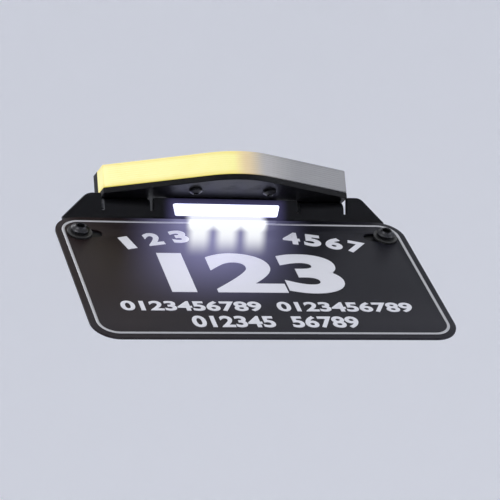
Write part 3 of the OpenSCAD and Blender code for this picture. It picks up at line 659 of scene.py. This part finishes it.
def turned(name, rings, steps=48):
    """A closed piece turned about Z. A ring is (radius, z), or (half across flats, z, largest radius)."""
    solid = bmesh.new()
    made = []
    for radius, z, *cap in rings:
        ring = []
        for k in range(steps):
            a = 2 * math.pi * k / steps
            r = radius
            if cap:
                r = min(radius / math.cos((a + HEXAGON) % (2 * HEXAGON) - HEXAGON), cap[0])
            ring.append(solid.verts.new((r * math.cos(a), r * math.sin(a), z)))
        made.append(ring)
    closed = rings[0] == rings[-1]
    if closed:
        made[-1] = made[0]
    for a, b in zip(made, made[1:]):
        for i in range(steps):
            j = (i + 1) % steps
            solid.faces.new((a[i], a[j], b[j], b[i]))
    if not closed:
        solid.faces.new(list(reversed(made[0])))
        solid.faces.new(made[-1])
    bmesh.ops.remove_doubles(solid, verts=solid.verts, dist=0.002 * MM)
    bmesh.ops.recalc_face_normals(solid, faces=solid.faces)
    mesh = bpy.data.meshes.new(name)
    solid.to_mesh(mesh)
    solid.free()
    smooth(mesh, 32)
    return bench_piece(name, mesh)


def button_head(size, length, steps=8):
    """Button head screw of a metric size, its head on Z 0 and its shank, the thread's core, going down."""
    thread = size * MM
    head_d, head_h, socket = (value * MM for value in BUTTON_HEADS[size])
    core, r, rim_h = thread * 0.42, head_d / 2, 0.35 * head_h
    sphere = (r * r + head_h * head_h) / (2 * head_h) * 1.15
    dome = []
    for k in range(1, steps + 1):
        z = rim_h + (head_h - rim_h) * math.sin(math.pi / 2 * k / steps)
        dome.append((min(r, math.sqrt(max(0.0, sphere ** 2 - (z - head_h + sphere) ** 2))), z))
    mouth = socket / 2 / math.cos(HEXAGON) + 0.15 * MM
    dome = [point for point in dome if point[0] > mouth + 0.1 * MM]
    foot_r = dome[0][0]
    return turned(f"m{size} screw", [
        (core * 0.75, -length), (core, -length + thread * 0.1), (core, -thread * 0.3),
        (thread / 2, -thread * 0.2), (thread / 2, 0), (foot_r - 0.25 * MM, 0), (foot_r, 0.25 * MM)] + dome
        + [(mouth, head_h), (mouth - 0.15 * MM, head_h - 0.08 * MM),
           (socket / 2, head_h - 0.25 * MM, socket), (socket / 2, head_h * 0.4, socket),
           (socket * 0.2, head_h * 0.32)])


def lock_nut(size):
    """Lock nut of a metric size on Z 0: chamfered hexagon, round collar, bore at the thread's crest."""
    flats, high = (value * MM for value in LOCK_NUTS[size])
    hex_h, bore, collar = high * 0.72, size * MM / 2 + 0.05 * MM, flats * 0.47
    corner = flats / 2 / math.cos(HEXAGON)
    chamfer = (corner - flats / 2) * 0.54
    return turned(f"m{size} nut", [
        (bore, 0.3 * MM), (bore + 0.3 * MM, 0), (flats / 2 - 0.1 * MM, 0),
        (flats / 2, 0.1 * MM, flats / 2 + 0.02 * MM), (flats / 2, chamfer, corner),
        (flats / 2, hex_h - chamfer, corner), (flats / 2, hex_h - 0.05 * MM, flats / 2 + 0.02 * MM),
        (collar, hex_h), (collar, high - 0.6 * MM), (collar - 0.25 * MM, high - 0.15 * MM),
        (collar - 0.7 * MM, high), (bore + 0.2 * MM, high), (bore, high - 0.2 * MM), (bore, 0.3 * MM)], 72)


def flat_washer(size, outer):
    """Washer of a metric size and an outer diameter, lying on Z 0."""
    bore, r, edge = size * MM / 2 + 0.15 * MM, outer / 2, 0.15 * MM
    return turned(f"m{size} washer", [
        (bore, edge), (bore + edge, 0), (r - edge, 0), (r, edge), (r, WASHER_T - edge),
        (r - edge, WASHER_T), (bore + edge, WASHER_T), (bore, WASHER_T - edge), (bore, edge)])


def fastener_tree():
    """Sets a turned piece on every place, turned to an axis, with a thread swept down its shank."""
    tree = bpy.data.node_groups.new("fasteners", "GeometryNodeTree")
    face = tree.interface
    ids = {}
    for label, kind in (("Places", "Geometry"), ("Turned piece", "Object"), ("Direction", "Vector"),
                        ("Thread radius", "Float"), ("Pitch", "Float"), ("Thread start", "Float"),
                        ("Thread length", "Float"), ("Seed", "Int"), ("Finish", "Material")):
        ids[label] = face.new_socket(label, in_out="INPUT", socket_type="NodeSocket" + kind).identifier
    face.new_socket("Set", in_out="OUTPUT", socket_type="NodeSocketGeometry")
    nodes, links = tree.nodes, tree.links
    into, out = nodes.new("NodeGroupInput"), nodes.new("NodeGroupOutput")

    def put(kind, settings=None, **sockets):
        """Adds a node; a socket is named, or n and its number where names repeat."""
        node = nodes.new(kind)
        for key, value in (settings or {}).items():
            setattr(node, key, value)
        for key, value in sockets.items():
            numbered = key[0] == "n" and key[1:].isdigit()
            socket = node.inputs[int(key[1:]) if numbered else key.replace("_", " ")]
            if isinstance(value, bpy.types.NodeSocket):
                links.new(value, socket)
            else:
                socket.default_value = value
        return node

    def given(label):
        return next(s for s in into.outputs if s.identifier == ids[label])

    def maths(operation, a, b):
        return put("ShaderNodeMath", {"operation": operation}, n0=a, n1=b).outputs[0]

    turns = maths("DIVIDE", given("Thread length"), given("Pitch"))
    spiral = put("GeometryNodeCurveSpiral", Resolution=20, Rotations=turns,
                 Start_Radius=given("Thread radius"), End_Radius=given("Thread radius"),
                 Height=given("Thread length"))
    ridge = put("GeometryNodeCurvePrimitiveCircle", {"mode": "RADIUS"}, Resolution=3,
                Radius=maths("MULTIPLY", given("Pitch"), RIDGE_SHARE))
    thread = put("GeometryNodeCurveToMesh", Curve=spiral.outputs[0], Profile_Curve=ridge.outputs[0],
                 Fill_Caps=True)
    drop = put("ShaderNodeCombineXYZ", Z=given("Thread start"))
    placed = put("GeometryNodeTransform", Geometry=thread.outputs[0], Translation=drop.outputs[0])
    has_thread = put("FunctionNodeCompare", {"data_type": "FLOAT", "operation": "GREATER_THAN"},
                     n0=given("Thread length"), n1=0.0)
    cut = put("GeometryNodeSwitch", {"input_type": "GEOMETRY"}, Switch=has_thread.outputs[0],
              **{"True": placed.outputs[0]})
    body = put("GeometryNodeObjectInfo", Object=given("Turned piece"))
    whole = put("GeometryNodeJoinGeometry", Geometry=cut.outputs[0])
    links.new(body.outputs["Geometry"], whole.inputs[0])
    spun = put("FunctionNodeRandomValue", {"data_type": "FLOAT"}, Seed=given("Seed"))
    angle = maths("MULTIPLY", spun.outputs[1], 2 * math.pi)
    spin = put("FunctionNodeAxisAngleToRotation", Axis=(0, 0, 1), Angle=angle)
    align = put("FunctionNodeAlignRotationToVector", {"axis": "Z"}, Vector=given("Direction"))
    turn = put("FunctionNodeRotateRotation", {"rotation_space": "LOCAL"}, Rotation=align.outputs[0],
               Rotate_By=spin.outputs[0])
    set_on = put("GeometryNodeInstanceOnPoints", Points=given("Places"), Instance=whole.outputs[0],
                 Rotation=turn.outputs[0])
    real = put("GeometryNodeRealizeInstances", Geometry=set_on.outputs[0])
    coated = put("GeometryNodeSetMaterial", Geometry=real.outputs[0], Material=given("Finish"))
    links.new(coated.outputs[0], out.inputs[0])
    return tree, ids


RIDGE_SHARE = 0.42
tree, tree_ids = fastener_tree()


def fasten(name, node, slot, piece, places, direction, finish, thread=0.0, pitch=1 * MM, start=0.0,
           length=0.0, seed=1):
    """One piece for all the fasteners of a node: its turned piece is set on every place."""
    points = bpy.data.meshes.new(name)
    points.from_pydata([tuple(p) for p in places], [], [])
    holder = bench_piece(name + "_places", points)
    setter = holder.modifiers.new("set", "NODES")
    setter.node_group = tree
    for label, value in (("Turned piece", piece), ("Direction", tuple(direction)),
                         ("Thread radius", thread - pitch * RIDGE_SHARE), ("Pitch", pitch),
                         ("Thread start", start), ("Thread length", length), ("Seed", seed),
                         ("Finish", finish.material)):
        setter[tree_ids[label]] = value
    mesh = settle(holder, 32)
    bpy.data.objects.remove(piece)
    show(name, mesh, finish, slot, node)


def black_oxide():
    dark, worn = (0.025, 0.025, 0.028), (0.06, 0.06, 0.064)
    steel = Finish("black oxide steel", dark, 0.32, metallic=0.85)
    here = steel.place()
    mottled = steel.noise(here, 2.5 * MM, 4.0)
    steel.set("Base Color", steel.mix(mottled, dark, worn))
    steel.set("Roughness", 0.26 + mottled * 0.16)
    steel.bump(steel.noise(here, 0.3 * MM), 0.02 * MM)
    return steel


def zinc_plate():
    dull, bright = (0.5, 0.5, 0.52), (0.74, 0.74, 0.76)
    steel = Finish("bright zinc", bright, 0.28, metallic=1.0)
    here = steel.place()
    bloom = steel.noise(here, 1.8 * MM, 5.0, 0.6)
    steel.set("Base Color", steel.mix(bloom, dull, bright))
    steel.set("Roughness", 0.2 + bloom * 0.22)
    steel.bump(steel.noise(here, 0.4 * MM), 0.015 * MM)
    return steel


black_steel, zinc = black_oxide(), zinc_plate()
nylon = Finish("black nylon", (0.025, 0.025, 0.025), 0.45)
nylon.bump(nylon.noise(nylon.place(), 0.4 * MM, 3.0), 0.03 * MM)

SHEET_T, BRACKET_T = 3 * MM, 2.5 * MM
BOLT_END = 2 * MM
shelf_up = on_shelf.to_3x3() @ Vector((0, 0, 1))
lean_out = on_lean.to_3x3() @ Vector((0, 0, 1))

BAR_SCREW_X, BAR_SCREW_IN, BAR_SCREW_BITE = 18.8 * MM, 8.2 * MM, 6 * MM
bar_screw = SHEET_T + BAR_SCREW_BITE
fasten("bar_screws", "light_bar_screws", "black_bolt", button_head(4, bar_screw),
       [on_shelf @ Vector((side * BAR_SCREW_X, BAR_ENDS_Y - BAR_SCREW_IN, -SHEET_T - SEAT))
        for side in (-1, 1)], -shelf_up, black_steel,
       thread=2 * MM, pitch=0.7 * MM, start=-bar_screw, length=bar_screw - 1.5 * MM, seed=3)


def on_plate_bolts(z):
    """The places of the number plate's two bolts, at a height over the leaning flange."""
    return [on_lean @ Vector((side * BOLT_X, -PLATE_DOWN - BOLT_DROP, z)) for side in (-1, 1)]


plate_bolt = PLATE_T + WASHER_T + BRACKET_T + 7 * MM
fasten("plate_bolt_pair", "plate_bolts", "black_bolt", button_head(6, plate_bolt),
       on_plate_bolts(SEAT + PLATE_T + WASHER_T), lean_out, black_steel,
       thread=3 * MM, start=-plate_bolt, length=plate_bolt - BOLT_END, seed=5)
fasten("plate_washer_pair", "plate_bolt_washers", "nylon", flat_washer(6, 12 * MM),
       on_plate_bolts(SEAT + PLATE_T), lean_out, nylon)
fasten("plate_nut_pair", "plate_bolt_nuts", "zinc", lock_nut(6),
       on_plate_bolts(-BRACKET_T - SEAT), -lean_out, zinc, seed=4)

TAB_BOLT_X, TAB_BOLTS_APART, TAB_BOLT_Y = 50 * MM, 12 * MM, -16 * MM


def on_tab_bolts(z):
    """The places of the four bolts that join the tabs to the shelf, at a height over the shelf."""
    return [on_shelf @ Vector((side * TAB_BOLT_X + k * TAB_BOLTS_APART, TAB_BOLT_Y, z))
            for side in (-1, 1) for k in (-0.5, 0.5)]


tab_bolt = SHEET_T + BRACKET_T + WASHER_T + 6 * MM
under_tab = -SHEET_T - BRACKET_T - 2 * SEAT
fasten("tab_bolts", "bracket_bolts", "black_bolt", button_head(5, tab_bolt),
       on_tab_bolts(SEAT), shelf_up, black_steel,
       thread=2.5 * MM, pitch=0.8 * MM, start=-tab_bolt, length=tab_bolt - BOLT_END, seed=8)
fasten("tab_washers", "bracket_washers", "zinc", flat_washer(5, 10 * MM),
       on_tab_bolts(under_tab), -shelf_up, zinc)
fasten("tab_nuts", "bracket_nuts", "zinc", lock_nut(5),
       on_tab_bolts(under_tab - WASHER_T), -shelf_up, zinc, seed=9)

# Studs and nuts of the plate light: two self-clinching studs pressed into the web, and small nuts.
# A stud's head is flush in the web, and its thread passes through an ear of the light's housing.
STUD_HEAD_R, STUD_HEAD_T, STUD_CORE_R, STUD_LONG = 2.3 * MM, 1.6 * MM, 1.26 * MM, 9.6 * MM
stud_low, stud_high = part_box("plate_light_studs")
stud_x, stud_z = stud_high.x - STUD_HEAD_R, (stud_low.z + stud_high.z) / 2
nut_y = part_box("plate_light_nuts")[0].y
front = (0, 1, 0)
stud = turned("stud", [(STUD_HEAD_R, 0), (STUD_HEAD_R, STUD_HEAD_T), (STUD_CORE_R, STUD_HEAD_T + 0.1 * MM),
                       (STUD_CORE_R, STUD_LONG - 0.3 * MM), (0.95 * MM, STUD_LONG)])
fasten("light_studs", "plate_light_studs", "zinc", stud,
       [(side * stud_x, stud_low.y, stud_z) for side in (-1, 1)], front, zinc,
       thread=1.5 * MM, pitch=0.5 * MM, start=2 * MM, length=7 * MM, seed=2)
fasten("light_nuts", "plate_light_nuts", "zinc", lock_nut(3),
       [(side * stud_x, nut_y, stud_z) for side in (-1, 1)], front, zinc, seed=6)

# Glands and grommet: soft black rubber, each a turned bush with a collar outside its wall. The
# wires would come out of the two glands and go up through the grommet.
rubber = Finish("black rubber", (0.022, 0.022, 0.022), 0.7)
skin = rubber.noise(rubber.place(), 0.6 * MM, 4.0)
rubber.set("Roughness", 0.6 + skin * 0.2)
rubber.bump(skin, 0.04 * MM)


def bush(name, node, place, direction, bore, neck, wall, collar, lip):
    """A bush along its direction, the wall's outer face at its place. Collar and lip: radius, height."""
    e = 0.35 * MM
    (collar_r, collar_h), (lip_r, lip_h) = collar, lip
    rings = [(bore, -wall - lip_h + e / 2), (bore + e / 2, -wall - lip_h), (lip_r - e, -wall - lip_h),
             (lip_r, -wall - lip_h + e), (lip_r, -wall), (neck, -wall), (neck, 0), (collar_r, 0),
             (collar_r, collar_h - e), (collar_r - e * 0.3, collar_h - e * 0.3), (collar_r - e, collar_h),
             (bore + e, collar_h), (bore, collar_h - e), (bore, -wall - lip_h + e / 2)]
    fasten(name, node, "rubber", turned(name, rings), [place], direction, rubber)


grommet_low, grommet_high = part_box("wire_grommet")
bush("grommet", "wire_grommet",
     ((grommet_low.x + grommet_high.x) / 2, (grommet_low.y + grommet_high.y) / 2, SEAT), (0, 0, 1),
     bore=5 * MM, neck=7.95 * MM, wall=3.02 * MM, collar=(10 * MM, 2 * MM), lip=(10 * MM, 1.98 * MM))

GLAND_X, BAR_DEEP = 36 * MM, 15.52 * MM
inward = Vector((-math.sin(FACE_ANGLE), math.cos(FACE_ANGLE), 0))
gland_foot = Vector((GLAND_X, BAR_ENDS_Y - BAR_POINT + GLAND_X * math.tan(FACE_ANGLE), BAR_HIGH / 2))
bush("bar_gland", "light_bar_gland", on_bar @ (gland_foot + BAR_DEEP * inward), on_bar.to_3x3() @ inward,
     bore=1.8 * MM, neck=2.95 * MM, wall=1.84 * MM, collar=(4 * MM, 2.98 * MM), lip=(3.5 * MM, 1 * MM))

LIGHT_GLAND_COLLAR = 3 * MM, 2.5 * MM
small_low, small_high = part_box("plate_light_gland")
bush("light_gland", "plate_light_gland",
     ((small_low.x + small_high.x) / 2, small_high.y - LIGHT_GLAND_COLLAR[1],
      (small_low.z + small_high.z) / 2), front,
     bore=1.4 * MM, neck=2.25 * MM, wall=0.6 * MM, collar=LIGHT_GLAND_COLLAR, lip=(2.25 * MM, 0.4 * MM))

# Studio: a pale bowl that is floor and backdrop in one, soft lamps, and the camera where the
# photograph was taken from. None of it is part of the object.
FLOOR_Z, FLOOR_R, BOWL_R, RIM_Z = -1.05, 2.2, 1.8, 4.0
BOWL_STEPS, BOWL_SIDES = 16, 64
PAPER, PAPER_SEEN = (0.87, 0.88, 0.9), (0.11, 0.11, 0.14)


def studio_bowl():
    """A disc of floor that curves up into a round wall, seen from inside."""
    profile = [(FLOOR_R + BOWL_R * math.sin(a), FLOOR_Z + BOWL_R * (1 - math.cos(a)))
               for a in (math.pi / 2 * k / BOWL_STEPS for k in range(BOWL_STEPS + 1))]
    profile.append((FLOOR_R + BOWL_R, RIM_Z))
    angles = [2 * math.pi * k / BOWL_SIDES for k in range(BOWL_SIDES)]
    bowl = bmesh.new()
    rings = [[bowl.verts.new((r * math.cos(a), r * math.sin(a), z)) for a in angles] for r, z in profile]
    bowl.faces.new(rings[0])
    for a, b in zip(rings, rings[1:]):
        for i in range(BOWL_SIDES):
            j = (i + 1) % BOWL_SIDES
            bowl.faces.new((a[i], b[i], b[j], a[j]))
    bmesh.ops.recalc_face_normals(bowl, faces=bowl.faces)
    for face in bowl.faces:
        face.smooth = True
    mesh = bpy.data.meshes.new("studio")
    bowl.to_mesh(mesh)
    bowl.free()
    return mesh


studio = bench_piece("studio", studio_bowl())
paper = Finish("pale paper", PAPER, 0.9, emission_strength=1.0)
seen_by = (paper.add("ShaderNodeLightPath", {}, out=f"Is {ray} Ray")
           for ray in ("Camera", "Glossy", "Transmission"))
paper.set("Emission Color", paper.mix(sum(seen_by).at_most(1.0), BLACK, PAPER_SEEN))
studio.data.materials.append(paper.material)

world = bpy.data.worlds.new("studio light")
bpy.context.scene.world = world
world.use_nodes = True
sky = world.node_tree.nodes["Background"]
sky.inputs["Color"].default_value = (0.93, 0.95, 1.0, 1)
sky.inputs["Strength"].default_value = 0.7


def aim(thing, place, target):
    thing.location = place
    thing.rotation_euler = (Vector(target) - Vector(place)).to_track_quat("-Z", "Y").to_euler()


def soft_lamp(name, place, size, power, colour=(1, 1, 1)):
    lamp_data = bpy.data.lights.new(name, "AREA")
    lamp_data.shape, lamp_data.size, lamp_data.energy, lamp_data.color = "DISK", size, power, colour
    aim(bench_piece(name, lamp_data), place, LAMPS_AIM)


LAMPS_AIM = (0, -0.1, -0.02)
soft_lamp("key", (-1.2, -1.0, 1.2), 0.9, 9)
soft_lamp("fill", (1.5, -0.9, 0.5), 1.1, 5, (0.93, 0.96, 1))
soft_lamp("top", (-0.9, 1.1, 1.3), 1.0, 8)

CAMERA_PLACE, CAMERA_AIM = (-0.3801, -1.2567, -0.0721), (0.0, -0.118, -0.0215)
SENSOR_W, FOCAL_LENGTH = 36, 182
camera_data = bpy.data.cameras.new("camera")
camera_data.sensor_width, camera_data.lens = SENSOR_W, FOCAL_LENGTH
camera = bench_piece("camera", camera_data)
aim(camera, CAMERA_PLACE, CAMERA_AIM)
bpy.context.scene.camera = camera
bpy.context.scene.view_settings.view_transform = "Standard"
